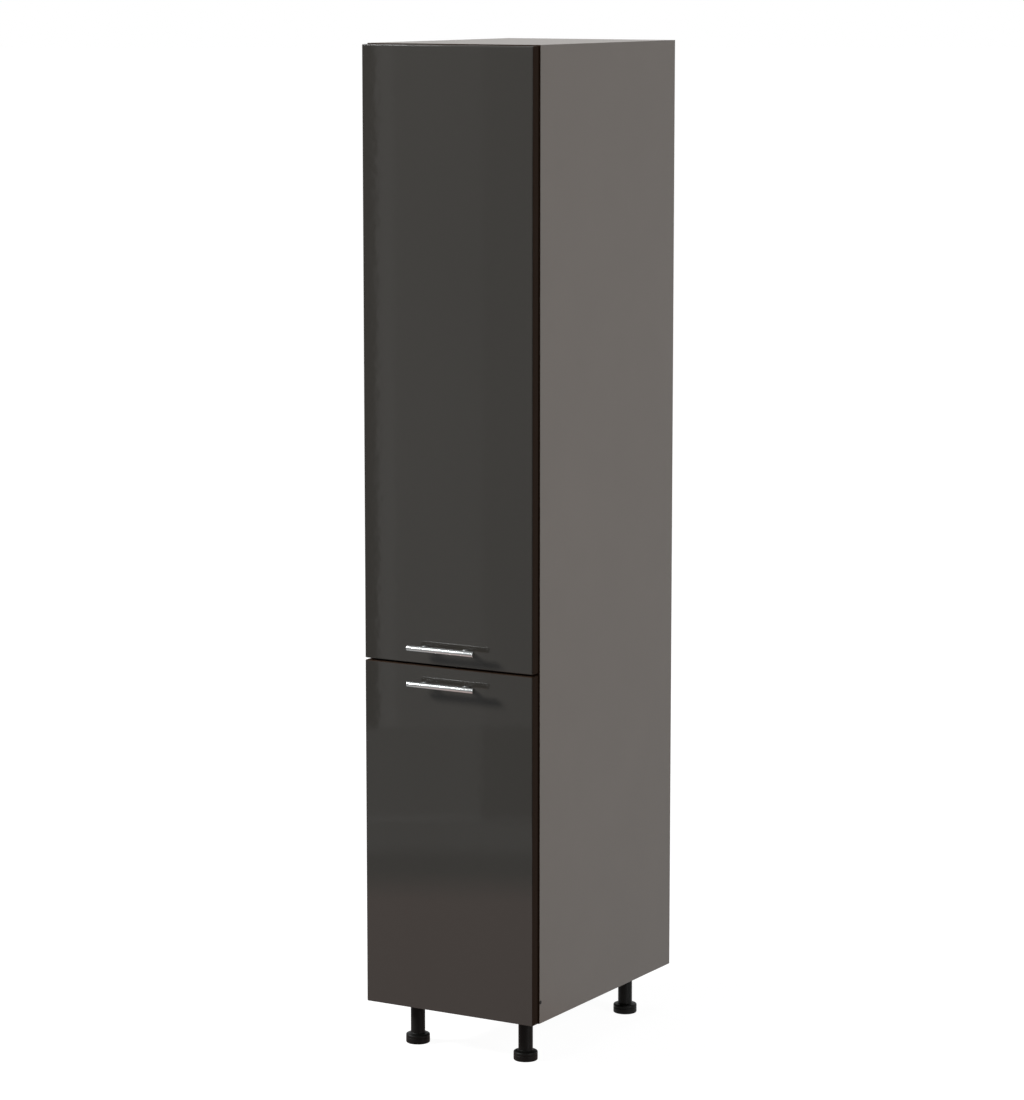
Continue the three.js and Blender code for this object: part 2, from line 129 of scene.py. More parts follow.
class Nodes:
    """A node tree, with short ways to add nodes to it."""

    def __init__(self, tree):
        self.tree = tree

    def node(self, kind, settings=None, **sockets):
        """A node of that kind: its settings first, then the values or links of its sockets."""
        node = self.tree.nodes.new(kind)
        for name, value in (settings or {}).items():
            setattr(node, name, value)
        for name, value in sockets.items():
            self.feed(node.inputs[name.replace("_", " ")], value)
        return node

    def feed(self, socket, value):
        """Links a value or another node's socket to a socket, or sets the socket to a constant."""
        if isinstance(value, Value):
            self.tree.links.new(value.socket, socket)
        elif isinstance(value, bpy.types.NodeSocket):
            self.tree.links.new(value, socket)
        else:
            socket.default_value = value

    def joined(self, kind, first, second, **sockets):
        """A node of that kind whose last two sockets take two shaders."""
        node = self.node(kind, **sockets)
        for socket, shader in zip(list(node.inputs)[-2:], (first, second)):
            self.feed(socket, shader.outputs[0])
        return node

    def place(self, coordinates="Object"):
        """Texture coordinates. Object coordinates are in metres."""
        return self.node("ShaderNodeTexCoord").outputs[coordinates]

    def axes(self, coordinates="Object"):
        """X, Y and Z of texture coordinates."""
        split = self.node("ShaderNodeSeparateXYZ", Vector=self.place(coordinates))
        return [Value(self.tree, split.outputs[axis]) for axis in "XYZ"]

    def rays(self):
        """Three values, each 1 for its kind of ray: from the camera, off a glossy face, or through
        something clear."""
        path = self.node("ShaderNodeLightPath").outputs
        return [Value(self.tree, path[f"Is {ray} Ray"]) for ray in RAYS]


class Material(Nodes):
    """A Principled material, with short ways to vary it over a surface."""

    def __init__(self, name, **constants):
        self.material = bpy.data.materials.new(name)
        self.material.use_nodes = True
        super().__init__(self.material.node_tree)
        self.shader = self.tree.nodes["Principled BSDF"]
        for socket, value in constants.items():
            self.feed(self.shader.inputs[socket.replace("_", " ")], value)

    def noise(self, scale, detail, roughness=0.5, stretch=(1.0, 1.0, 1.0)):
        """Noise from 0 to 1. A stretch under 1 draws it out along that axis."""
        stretched = self.node("ShaderNodeMapping", Vector=self.place(), Scale=stretch).outputs["Vector"]
        node = self.node("ShaderNodeTexNoise", Vector=stretched, Scale=scale, Detail=detail,
                         Roughness=roughness)
        return Value(self.tree, node.outputs["Fac"])

    def cells(self, scale):
        """The distance to the middle of the cell that a point lies in."""
        node = self.node("ShaderNodeTexVoronoi", Vector=self.place(), Scale=scale)
        return Value(self.tree, node.outputs["Distance"])

    def blend(self, factor, first, second):
        """A colour between two, by a factor from 0 to 1."""
        node = self.node("ShaderNodeMix", {"data_type": "RGBA", "clamp_factor": True})
        self.feed(node.inputs["Factor"], factor)
        for place, value in zip(MIX_COLORS, (first, second)):
            self.feed(node.inputs[place], (*value, 1.0) if isinstance(value, tuple) else value)
        return node.outputs[MIX_RESULT]

    def color(self, value):
        self.feed(self.shader.inputs["Base Color"], value)

    def roughness(self, value):
        self.feed(self.shader.inputs["Roughness"], value)

    def bump(self, height, depth):
        """Relief of that depth in metres where height goes from 0 to 1."""
        node = self.node("ShaderNodeBump", Height=height, Distance=depth, Strength=1.0)
        self.feed(self.shader.inputs["Normal"], node.outputs["Normal"])


def soft_edge(value, middle, width):
    """0 well below the middle, 1 well above it, and a straight ramp of that width between."""
    ramp = (value - (middle - width / 2)) * (1.0 / width)
    return ramp.apply("MAXIMUM", 0.0).apply("MINIMUM", 1.0)


# ---- Materials -------------------------------------------------------------------------------

DOT_PITCH = 8 * MM
DOT_RADIUS = 0.24                   # of the liner's dots, as a share of their pitch


def gloss_graphite():
    """High-gloss graphite face with a slow orange peel and the faintest cloud in its depth."""
    finish = Material("gloss_graphite", Specular_IOR_Level=0.5)
    cloud = finish.noise(scale=2.2, detail=3.0, stretch=(1.0, 1.0, 0.35))
    deep, pale = (0.0248, 0.0228, 0.0199), (0.0284, 0.0264, 0.0233)
    finish.color(finish.blend(soft_edge(cloud, middle=0.5, width=0.5), deep, pale))
    smear = finish.noise(scale=9.0, detail=4.0, roughness=0.6, stretch=(1.0, 1.0, 0.25))
    finish.roughness(0.030 + 0.030 * smear)
    orange_peel = finish.noise(scale=55.0, detail=1.0, roughness=0.4)
    finish.bump(orange_peel, depth=0.00004)
    return finish.material


def edge_band_and_painted_shade():
    """A black-brown edge band on the edges of the fronts and on the cabinet's front edges. Its darkness
    is also painted shade, for where those edges lie in the shade of the gaps round the fronts.
    """
    finish = Material("edge_band_and_painted_shade", Specular_IOR_Level=0.02)
    pores = finish.noise(scale=320.0, detail=3.0, roughness=0.6, stretch=(1.0, 1.0, 0.08))
    deep, pale = (0.0170, 0.0098, 0.0062), (0.0240, 0.0140, 0.0088)
    finish.color(finish.blend(pores, deep, pale))
    finish.roughness(0.45 + 0.2 * pores)
    finish.bump(pores, depth=0.00005)
    return finish.material


def satin_graphite():
    """The plain laminate on the backs of the fronts."""
    finish = Material("satin_graphite", Roughness=0.5)
    grain = finish.noise(scale=900.0, detail=2.0)
    deep, pale = (0.044, 0.042, 0.039), (0.058, 0.056, 0.052)
    finish.color(finish.blend(grain, deep, pale))
    finish.bump(grain, depth=0.00006)
    return finish.material


def taupe_melamine():
    """Melamine-faced board: a matt taupe grey with a fine pearl texture and a slight cloud."""
    finish = Material("taupe_melamine", Specular_IOR_Level=0.4)
    cloud = finish.noise(scale=5.0, detail=4.0, roughness=0.6)
    fine = finish.noise(scale=700.0, detail=3.0, roughness=0.6)
    deep, pale, speck = (0.142, 0.121, 0.104), (0.152, 0.130, 0.112), (0.10, 0.088, 0.077)
    base = finish.blend(soft_edge(cloud, middle=0.5, width=0.4), deep, pale)
    finish.color(finish.blend(0.18 * fine, base, speck))
    finish.roughness(0.30 + 0.12 * fine)
    pearl = finish.noise(scale=1400.0, detail=2.0, roughness=0.6)
    finish.bump(pearl, depth=0.00008)
    return finish.material


def polished_steel():
    """Handle bars and posts: bright, with a very fine turning grain and soft smudges."""
    finish = Material("polished_steel", Metallic=1.0)
    smudge = finish.noise(scale=60.0, detail=3.0, roughness=0.6)
    deep, pale = (0.54, 0.56, 0.56), (0.60, 0.62, 0.62)
    finish.color(finish.blend(smudge, deep, pale))
    finish.roughness(0.17 + 0.06 * smudge)
    grain = finish.noise(scale=900.0, detail=1.0, stretch=(0.05, 1.0, 1.0))
    finish.bump(grain, depth=0.00001)
    return finish.material


def chromed_wire():
    """Bright chrome with a little haze where the wires are welded and handled."""
    finish = Material("chromed_wire", Metallic=1.0)
    haze = finish.noise(scale=45.0, detail=3.0, roughness=0.6)
    deep, pale = (0.74, 0.75, 0.77), (0.84, 0.85, 0.86)
    finish.color(finish.blend(haze, deep, pale))
    finish.roughness(0.08 + 0.10 * haze)
    return finish.material


def zinc_sheet():
    """Zinc-plated sheet steel: a bluish grey with faint spangles, drawn along the runners."""
    finish = Material("zinc_sheet", Metallic=1.0)
    spangle = finish.cells(scale=160.0)
    drawn = finish.noise(scale=240.0, detail=3.0, roughness=0.6, stretch=(1.0, 0.03, 1.0))
    deep, pale, line = (0.50, 0.52, 0.55), (0.60, 0.61, 0.63), (0.42, 0.43, 0.45)
    finish.color(finish.blend(0.5 * drawn, finish.blend(spangle, deep, pale), line))
    finish.roughness(0.26 + 0.16 * drawn)
    finish.bump(drawn, depth=0.00003)
    return finish.material


def silver_powder():
    """Silver-grey powder coat with its fine pebble."""
    finish = Material("silver_powder", Metallic=0.35)
    pebble = finish.noise(scale=1100.0, detail=2.0)
    deep, pale = (0.30, 0.31, 0.32), (0.38, 0.39, 0.40)
    finish.color(finish.blend(pebble, deep, pale))
    finish.roughness(0.40 + 0.12 * pebble)
    finish.bump(pebble, depth=0.00007)
    return finish.material


def black_plastic():
    """Moulded black plastic with a fine spark-eroded grain and a few paler scuffs."""
    finish = Material("black_plastic", Specular_IOR_Level=0.12)
    grain = finish.noise(scale=1300.0, detail=2.0, roughness=0.6)
    scuff = finish.noise(scale=70.0, detail=4.0, roughness=0.65)
    deep, pale = (0.0030, 0.0029, 0.0024), (0.0055, 0.0053, 0.0046)
    finish.color(finish.blend(soft_edge(scuff, middle=0.6, width=0.2), deep, pale))
    finish.roughness(0.40 + 0.18 * grain)
    finish.bump(grain, depth=0.00006)
    return finish.material


def grey_rubber():
    """Soft dark grey rubber with a dusty grain."""
    finish = Material("grey_rubber")
    grain = finish.noise(scale=1500.0, detail=2.0)
    deep, pale = (0.030, 0.030, 0.030), (0.045, 0.045, 0.045)
    finish.color(finish.blend(grain, deep, pale))
    finish.roughness(0.70 + 0.15 * grain)
    return finish.material


def pale_liner():
    """Liner board: pale grey with a square pattern of small raised non-slip dots, each where the
    distance to the middle of its own square of the pattern is small."""
    finish = Material("pale_liner")
    x, y, _ = finish.axes()
    across, along = (abs((axis * (1.0 / DOT_PITCH)).apply("FRACT") - 0.5) for axis in (x, y))
    reach = (across * across + along * along).apply("SQRT")
    dots = 1.0 - soft_edge(reach, middle=DOT_RADIUS, width=0.08)
    cloud = finish.noise(scale=30.0, detail=3.0, roughness=0.6)
    deep, pale, dot = (0.47, 0.46, 0.44), (0.53, 0.52, 0.50), (0.60, 0.59, 0.57)
    finish.color(finish.blend(0.5 * dots, finish.blend(cloud, deep, pale), dot))
    finish.roughness(0.62 - 0.15 * dots)
    finish.bump(dots, depth=0.0004)
    return finish.material


# ---- Surfaces --------------------------------------------------------------------------------

FACE_INSET = 1.6                    # a face's flat part starts this many edge radii inside the outline
LEAST_CORNER = 0.15                 # the share of its radius that an inset corner keeps
LEAST_COSINE = 0.5                  # of half a wire's bend, past which its section widens no more
TINY = 1e-6                         # metres, under which a bend counts as straight


def new_piece(name, vertices, faces, materials, body):
    """A smooth mesh piece in its place, riding on a body."""
    mesh = bpy.data.meshes.new(name)
    mesh.from_pydata(np.asarray(vertices, float).reshape(-1, 3).tolist(), [], faces)
    mesh.polygons.foreach_set("use_smooth", [True] * len(mesh.polygons))
    for material in materials:
        mesh.materials.append(material)
    mesh.update()
    piece = bpy.data.objects.new(name, mesh)
    bpy.context.scene.collection.objects.link(piece)
    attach(piece, body)
    return piece


def unit(vectors):
    """Each vector divided by its length."""
    return vectors / np.linalg.norm(vectors, axis=-1, keepdims=True)


def grid_faces(rows, columns, close_rows=False):
    """Quads over a grid of points, row after row. Each row closes on itself, and the last row joins
    the first one where the rows close too."""
    row = np.arange(rows if close_rows else rows - 1)[:, None]
    column = np.arange(columns)[None, :]
    above = (row + 1) % rows
    beside = (column + 1) % columns
    quads = np.stack([row * columns + column, row * columns + beside,
                      above * columns + beside, above * columns + column], -1)
    return quads.reshape(-1, 4).tolist()


def cap_faces(rows, columns):
    """The two faces that close the ends of a stack of rings."""
    first = list(range(columns))[::-1]
    last = [(rows - 1) * columns + i for i in range(columns)]
    return [first, last]


def rounded_outline(half_u, half_v, radius, steps):
    """Points (u, v) round a rectangle: four quarter circles of that radius joined by straight sides."""
    angle = np.concatenate([np.linspace(q, q + 1, steps + 1) for q in range(4)]) * math.pi / 2
    quarter = np.repeat(np.arange(4), steps + 1)
    sign_u = np.where((quarter == 0) | (quarter == 3), 1.0, -1.0)
    sign_v = np.where(quarter < 2, 1.0, -1.0)
    u = sign_u * (half_u - radius) + radius * np.cos(angle)
    v = sign_v * (half_v - radius) + radius * np.sin(angle)
    return np.stack([u, v], -1)


def slab(low, high, axis, corner, near_edge, far_edge, steps):
    """Vertices and faces of a board between two corners, its outline across the axis rounded at the
    corners. Each ring of an edge of radius r lies r(1 - sin a) from the face and r(1 - cos a) inside
    the outline, for an angle a from 0 to a right angle. The near face has the lower coordinate."""
    low, high = np.array(low, float), np.array(high, float)
    normal = "XYZ".index(axis)
    u_axis, v_axis = {"X": (1, 2), "Y": (2, 0), "Z": (0, 1)}[axis]
    middle, half = (low + high) / 2, (high - low) / 2
    bends = [(1 - math.sin(a), 1 - math.cos(a)) for a in np.linspace(0.0, math.pi / 2, steps + 1)]
    near = [(low[normal], near_edge * FACE_INSET)]
    near += [(low[normal] + near_edge * depth, near_edge * inset) for depth, inset in bends[::-1]]
    far = [(high[normal] - far_edge * depth, far_edge * inset) for depth, inset in bends]
    far += [(high[normal], far_edge * FACE_INSET)]
    rings = []
    for place, inset in near + far:
        radius = max(corner - inset, corner * LEAST_CORNER)
        outline = rounded_outline(half[u_axis] - inset, half[v_axis] - inset, radius, steps)
        ring = np.empty((len(outline), 3))
        ring[:, normal] = place
        ring[:, u_axis] = middle[u_axis] + outline[:, 0]
        ring[:, v_axis] = middle[v_axis] + outline[:, 1]
        rings.append(ring)
    rows, columns = len(rings), len(rings[0])
    return np.concatenate(rings), grid_faces(rows, columns) + cap_faces(rows, columns)


def tube(path, radius, sides, closed=False):
    """Vertices and faces of a round wire along points. At each point the section stands square to
    the mean direction of the two stretches that meet there, and its zero is carried along by the
    least turn, so that it never twists. Across a bend the section is widened by one over the cosine
    of half the bend, so that the wire stays as thick."""
    path = np.asarray(path, float)
    ahead = np.roll(path, -1, 0) - path
    behind = path - np.roll(path, 1, 0)
    if not closed:
        ahead[-1] = behind[-1]
        behind[0] = ahead[0]
    along = unit(unit(ahead) + unit(behind))
    widening = 1.0 / np.clip(np.einsum("ij,ij->i", along, unit(ahead)), LEAST_COSINE, 1.0)
    side = np.empty_like(path)
    start = np.eye(3)[np.argmin(abs(along[0]))]
    side[0] = unit(start - along[0] * start.dot(along[0]))
    for i in range(1, len(path)):
        side[i] = unit(side[i - 1] - along[i] * side[i - 1].dot(along[i]))
    other = np.cross(along, side)
    angle = np.arange(sides) * 2 * math.pi / sides
    ring = np.cos(angle)[None, :, None] * side[:, None] + np.sin(angle)[None, :, None] * other[:, None]
    bend = unit(ahead) - unit(behind)
    size = np.linalg.norm(bend, axis=-1, keepdims=True)
    inward = np.where(size > TINY, bend / np.maximum(size, TINY), 0.0)
    lean = np.einsum("ijk,ik->ij", ring, inward)[..., None] * inward[:, None]
    ring = ring + lean * (widening[:, None, None] - 1.0)
    vertices = path[:, None] + radius * ring
    faces = grid_faces(len(path), sides, close_rows=closed)
    if not closed:
        faces += cap_faces(len(path), sides)
    return vertices.reshape(-1, 3), faces


def turned(profile, base, direction, sides):
    """Vertices and faces of a profile of (radius, height) turned about an axis through the base: each
    point becomes a ring of that radius, at that height along the axis. The profile runs from the axis
    to the axis, and each end closes in one point."""
    profile = np.asarray(profile, float)
    axis = unit(np.asarray(direction, float))
    start = np.eye(3)[np.argmin(abs(axis))]
    u = unit(np.cross(axis, start))
    v = np.cross(axis, u)
    angle = np.arange(sides) * 2 * math.pi / sides
    circle = np.cos(angle)[:, None] * u + np.sin(angle)[:, None] * v
    inner = profile[1:-1]
    rings = np.asarray(base) + inner[:, 1, None, None] * axis + inner[:, 0, None, None] * circle[None]
    ends = np.asarray(base) + np.outer(profile[[0, -1], 1], axis)
    vertices = np.concatenate([rings.reshape(-1, 3), ends])
    here = np.arange(sides)
    beside = (here + 1) % sides
    last_ring = (len(inner) - 1) * sides
    first_end = np.full(sides, len(vertices) - 2)
    fans = np.stack([first_end, beside, here,
                     first_end + 1, last_ring + here, last_ring + beside], -1)
    return vertices, grid_faces(len(inner), sides) + fans.reshape(-1, 3).tolist()


def merged(parts):
    """Several (vertices, faces) as one."""
    vertices, faces, start = [], [], 0
    for part_vertices, part_faces in parts:
        vertices.append(part_vertices)
        faces += [[start + i for i in face] for face in part_faces]
        start += len(part_vertices)
    return np.concatenate(vertices), faces


def filleted(points, steps=4):
    """A profile of (radius, height, fillet): each corner with a fillet is replaced by the parabola
    that leaves and meets the two straights at the fillet's distance from the corner."""
    profile = []
    for i, (radius, height, fillet) in enumerate(points):
        here = np.array([radius, height])
        if fillet == 0 or i in (0, len(points) - 1):
            profile.append(here)
            continue
        before, after = np.array(points[i - 1][:2]), np.array(points[i + 1][:2])
        enter = here + fillet * (before - here) / np.linalg.norm(before - here)
        leave = here + fillet * (after - here) / np.linalg.norm(after - here)
        t = np.linspace(0.0, 1.0, steps + 1)[:, None]
        profile += list((1 - t) ** 2 * enter + 2 * t * (1 - t) * here + t ** 2 * leave)
    return profile


def rounded_path(points, radius, steps=4):
    """A bent line: every inner corner becomes a parabola that leaves and meets the straights at that
    distance from the corner."""
    with_fillets = [(u, v, radius) for u, v in points]
    return np.array(filleted(with_fillets, steps))


HEAD_HEIGHT = 0.75                  # of a screw head, as a share of its radius
# A screw head's section, from the plate over the rim to the middle of its recess: the radius, level and
# fillet of each point. A level is a share of the head's height, and the others are of its radius.
HEAD_SECTION = (
    (0, 0, 0), (1.0, 0, 0), (1.0, 0.45, 0.15), (0.7, 0.95, 0.1), (0.42, 1.0, 0.05), (0.36, 0.35, 0),
    (0, 0.35, 0),
)
HEAD_SIDES = 18
SCREW_RADIUS = 4 * MM
SMALL_SCREW_RADIUS = 3 * MM


def pan_head(place, direction, radius):
    """A round screw head: its section rises at the plate, falls off in a flat dome and sinks into the
    recess, and is turned about the screw."""
    height = HEAD_HEIGHT * radius
    section = [(share * radius, level * height, fillet * radius) for share, level, fillet in HEAD_SECTION]
    return turned(filleted(section, steps=2), place, direction, HEAD_SIDES)


# ---- Stage -----------------------------------------------------------------------------------

WHITE = (1.0, 1.0, 1.0, 1.0)
FLOOR_REACH = 150.0
FLOOR_PAINT = (0.15, 0.15, 0.15, 1.0)
FLOOR_GLOW, FLOOR_GLOW_FAR = 0.96, 1.0          # to the camera, near the object and far off
# The floor as the object mirrors it: behind the object one plain light, and in front of it a dim light
# far out, a bright ring, and inside that a dimmer disc with a pool of light, which is warm to the
# right of a slanting line and pale to its left.
FAR_LIGHT, BACK_LIGHT = 0.15, 0.95
RING_LIGHT, RING_RADIUS = 0.31, 2.50
DISC_LIGHT, DISC_RADIUS = 0.16, 2.13
POOL_LIGHT, POOL_RADIUS, POOL_COLOR = 0.364, 1.76, (1.0, 0.60, 0.52, 1.0)
POOL_PALE = 0.257
BEAM_SLOPE = 0.615                  # of the slanting line, as x over y
# How soft these edges are: a width, or a middle and a width.
RING_EDGE, POOL_EDGE = 0.15, 0.30
GLOW_EDGE = (2.6, 2.0)              # by the distance from the object
FLOOR_BEHIND = (0.1, 0.3)           # by y: from here back, the floor is behind the object
BEAM_EDGE = (-0.21, 0.12)           # by x beyond the slanting line through the origin


def make_floor():
    """A pale floor that shows white to the camera and keeps the object's soft shadow. Mirrored in the
    object it shows plain discs of light instead. A disc is 1 less the soft edge at its radius, and the
    ring is the outer disc less the inner one."""
    corners = FLOOR_REACH * np.array([(-1, -1, 0), (1, -1, 0), (1, 1, 0), (-1, 1, 0)])
    mesh = bpy.data.meshes.new("floor")
    mesh.from_pydata(corners.tolist(), [], [(0, 1, 2, 3)])
    finish = Material("white_floor")
    finish.tree.nodes.remove(finish.shader)
    seen, mirrored, through = finish.rays()
    x, y, _ = finish.axes()
    distance = (x * x + y * y).apply("SQRT")
    outer = 1.0 - soft_edge(distance, RING_RADIUS, RING_EDGE)
    inner = 1.0 - soft_edge(distance, DISC_RADIUS, RING_EDGE)
    behind = soft_edge(y, *FLOOR_BEHIND)
    pool = (1.0 - soft_edge(distance, POOL_RADIUS, POOL_EDGE)) * (1.0 - behind)
    beam = soft_edge(x - BEAM_SLOPE * y, *BEAM_EDGE)
    front_light = (FAR_LIGHT + RING_LIGHT * (outer - inner) + DISC_LIGHT * inner
                   + POOL_PALE * pool * (1.0 - beam))
    glow_here = FLOOR_GLOW + (FLOOR_GLOW_FAR - FLOOR_GLOW) * soft_edge(distance, *GLOW_EDGE)
    paint = finish.node("ShaderNodeBsdfDiffuse", Color=FLOOR_PAINT)
    glow = finish.node("ShaderNodeEmission", Color=WHITE, Strength=glow_here * (seen + through))
    plain = finish.node("ShaderNodeEmission", Color=WHITE,
                        Strength=front_light * (1.0 - behind) + BACK_LIGHT * behind)
    warm = finish.node("ShaderNodeEmission", Color=POOL_COLOR, Strength=POOL_LIGHT * pool * beam)
    as_seen = finish.joined("ShaderNodeAddShader", paint, glow)
    as_mirrored = finish.joined("ShaderNodeAddShader", plain, warm)
    surface = finish.joined("ShaderNodeMixShader", as_seen, as_mirrored, Fac=mirrored)
    finish.feed(finish.tree.nodes["Material Output"].inputs["Surface"], surface.outputs[0])
    mesh.materials.append(finish.material)
    floor = bpy.data.objects.new("floor", mesh)
    bpy.context.scene.collection.objects.link(floor)


WORLD_LIGHT = 0.08                  # on surfaces
ROOM_LIGHT = 0.60                   # as the object mirrors it
ROOM_BEHIND = (0.45, 0.4)           # the middle and width of that soft edge, by the Y of a direction


def make_world():
    """White to the camera, through openings and where the backdrop is mirrored, a pale grey where the
    room in front of the object is, and an even, weak light on surfaces."""
    world = bpy.data.worlds.new("studio")
    world.use_nodes = True
    sky = Nodes(world.node_tree)
    seen, mirrored, through = sky.rays()
    _, y, _ = sky.axes("Generated")
    behind = soft_edge(y, *ROOM_BEHIND)
    shown = (seen + through).apply("MINIMUM", 1.0)
    reflected = (ROOM_LIGHT - WORLD_LIGHT) + (1.0 - ROOM_LIGHT) * behind
    background = sky.tree.nodes["Background"]
    sky.feed(background.inputs["Color"], WHITE)
    sky.feed(background.inputs["Strength"],
             WORLD_LIGHT + (1.0 - WORLD_LIGHT) * shown + reflected * mirrored)
    bpy.context.scene.world = world


# A key from the upper left, a small lamp that draws a bright line along the bars and rims, a fill for
# the right side and an overhead lamp: each one's place, aim, width and height, and power in watts.
LAMPS = (
    ("key", (-6.0, -4.35, 4.4), (0.0, -0.27, 0.9), (1.5, 1.5), 1120.0),
    ("streak", (-2.68, -3.42, 4.10), (0.0, -0.27, 0.95), (0.6, 0.6), 40.0),
    ("fill", (4.5, -1.2, 1.5), (0.0, 0.0, 0.9), (1.6, 3.4), 110.0),
    ("overhead", (0.0, 0.3, 4.5), (0.0, 0.301, 0.0), (2.0, 2.0), 23.0),
)
# Dim panels as they show in the fronts: where each starts and ends, as shares of the fronts' width
# from the left, the levels it stands between, and how bright it is.
PANELS = (
    ("bright_panel", 0.087, 0.19, 0.27, 2.4, 0.47),
    ("left_panel", 0.19, 0.715, 0.27, 2.4, 0.36),
    ("right_panel", 0.715, 1.10, 0.27, 2.4, 0.286),
    ("low_left_panel", -0.05, 0.70, 0.02, 0.27, 0.30),
    ("low_right_panel", 0.70, 1.10, 0.02, 0.27, 0.158),
)
PANEL_DISTANCE = 2.15


def make_lamp(name, place, aim, size, power):
    """An area lamp with level edges that faces its aim, and doesn't show to the camera."""
    data = bpy.data.lights.new(name, "AREA")
    data.shape = "RECTANGLE"
    data.size, data.size_y = size
    data.energy = power
    lamp = bpy.data.objects.new(name, data)
    lamp.location = place
    direction = np.array(aim, float) - np.array(place, float)
    flat = math.hypot(direction[0], direction[1])
    lamp.rotation_euler = (math.pi / 2 + math.atan2(direction[2], flat), 0.0,
                           math.atan2(-direction[0], direction[1]))
    lamp.visible_camera = False
    bpy.context.scene.collection.objects.link(lamp)


def make_lights():
    """The lamps, and the panels that the gloss fronts mirror. A panel stands across the camera's line
    of sight after the mirror, which is the line from the mirrored camera through the fronts."""
    for lamp in LAMPS:
        make_lamp(*lamp)
    low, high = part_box("upper_front")
    middle = np.array([0.0, low[1]])
    mirrored_camera = np.array([CAMERA_PLACE[0], 2 * middle[1] - CAMERA_PLACE[1]])
    sight = middle - mirrored_camera
    distance = np.linalg.norm(sight)
    sight /= distance
    across = np.array([-sight[1], sight[0]])
    width = 2 * high[0] * abs(sight[1]) * (distance + PANEL_DISTANCE) / distance
    for name, start, end, bottom, top, radiance in PANELS:
        shift = ((start + end) / 2 - 0.5) * width
        place = middle + sight * PANEL_DISTANCE + across * shift
        size = ((end - start) * width, top - bottom)
        level = (top + bottom) / 2
        make_lamp(name, (*place, level), (*middle, level), size, radiance * math.pi * size[0] * size[1])


# ---- Fronts ----------------------------------------------------------------------------------

RIM_RADIUS = 2.0 * MM
RIM_STEPS = 8
FRONT_CORNER = 1.04 * RIM_RADIUS    # seen from the front
WHOLE_RIM = 1.01 * RIM_RADIUS       # takes in the rim's last step
WRAP_DEPTH = 0.3 * RIM_RADIUS       # how far back the gloss face wraps over the rim
# The lower front's top rim is dark band almost from its front: painted shade for the gap above it, which
# keeps off the highlight its gloss would show. The upper front's top rim is gloss all over.
TOP_WRAP_DEPTH = {"lower": 0.03 * RIM_RADIUS, "upper": WHOLE_RIM}
BACK_EDGE = 0.4 * MM
BACK_DEPTH = 0.1 * BACK_EDGE        # faces that lie this close to the back's plane are the back
GLOSS, EDGE_AND_SHADE, SATIN = range(3)     # the finishes of a front, in the order of its material slots


def dress_fronts(gloss, edge_and_shade, satin):
    """Each front is a board whose gloss face wraps over part of a soft rim: over all of it at the very
    top, and hardly at all beside the gap between the fronts, where the dark band on the lower front's
    top rim is painted shade for the gap. Its other edges are dark too: an edge band that is also painted
    shade. Its back is plain."""
    for which in FRONTS:
        node = f"{which}_front"
        low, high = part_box(node)
        vertices, faces = slab(low, high, "Y", FRONT_CORNER, RIM_RADIUS, BACK_EDGE, RIM_STEPS)
        piece = new_piece(f"{node}_board", vertices, faces, [gloss, edge_and_shade, satin], "pull_out")
        foremost = np.array([vertices[face, 1].min() for face in faces])
        deepest = np.array([vertices[face, 1].max() for face in faces])
        lowest = np.array([vertices[face, 2].min() for face in faces])
        top_rim = lowest > high[2] - WHOLE_RIM
        # Faces past the gloss get the dark edge band, which is partly painted shade.
        dark_edged = deepest > low[1] + np.where(top_rim, TOP_WRAP_DEPTH[which], WRAP_DEPTH)
        plain = foremost > high[1] - BACK_DEPTH
        finishes = np.where(plain, SATIN, np.where(dark_edged, EDGE_AND_SHADE, GLOSS))
        piece.data.polygons.foreach_set("material_index", finishes)
        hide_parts(node)


BAR_FILLET = 0.9 * MM
POST_FILLET = 0.4 * MM
POST_END = 0.6                      # how far behind the bar's axis a post ends, in radii of the bar


def dress_handles(steel):
    """A bar turned about its long axis, and two posts turned about the way out of the front, which
    end inside the bar."""
    for which in FRONTS:
        low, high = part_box(f"{which}_handle_bar")
        radius = (high[2] - low[2]) / 2
        axis_y, axis_z = (low[1] + high[1]) / 2, (low[2] + high[2]) / 2
        length = high[0] - low[0]
        profile = filleted([(0, 0, 0), (radius, 0, BAR_FILLET), (radius, length, BAR_FILLET),
                            (0, length, 0)])
        shape = turned(profile, (low[0], axis_y, axis_z), (1, 0, 0), sides=64)
        bar = new_piece(f"{which}_bar", *shape, [steel], "pull_out")
        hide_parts(f"{which}_handle_bar")
        for side in SIDES:
            node = f"{which}_handle_post_{side}"
            near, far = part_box(node)
            post_x = (near[0] + far[0]) / 2
            post_radius = (far[0] - near[0]) / 2
            reach = far[1] - (axis_y + POST_END * radius)
            profile = filleted([(0, 0, 0), (post_radius, 0, POST_FILLET), (post_radius, reach, 0),
                                (0, reach, 0)])
            shape = turned(profile, (post_x, far[1], axis_z), (0, -1, 0), sides=40)
            post = new_piece(f"{which}_post_{side}", *shape, [steel], "pull_out")
            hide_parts(node)


SHANK_RADIUS = 2 * MM


def dress_handle_screws(zinc):
    """Each screw is a head on the back of the front and a plain shank that goes forward into the
    post."""
    for which in FRONTS:
        for side in SIDES:
            node = f"{which}_handle_screw_{side}"
            low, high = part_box(node)
            middle = (low + high) / 2
            radius = (high[0] - low[0]) / 2
            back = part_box(f"{which}_front")[1][1]
            head = pan_head((middle[0], back, middle[2]), (0, 1, 0), radius)
            length = back - low[1]
            profile = [(0, 0), (SHANK_RADIUS, 0), (SHANK_RADIUS, length), (0, length)]
            shank = turned(profile, (middle[0], low[1], middle[2]), (0, 1, 0), HEAD_SIDES)
            piece = new_piece(f"{node}_pan", *merged([head, shank]), [zinc], "pull_out")
            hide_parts(node)


# ---- Cabinet ---------------------------------------------------------------------------------

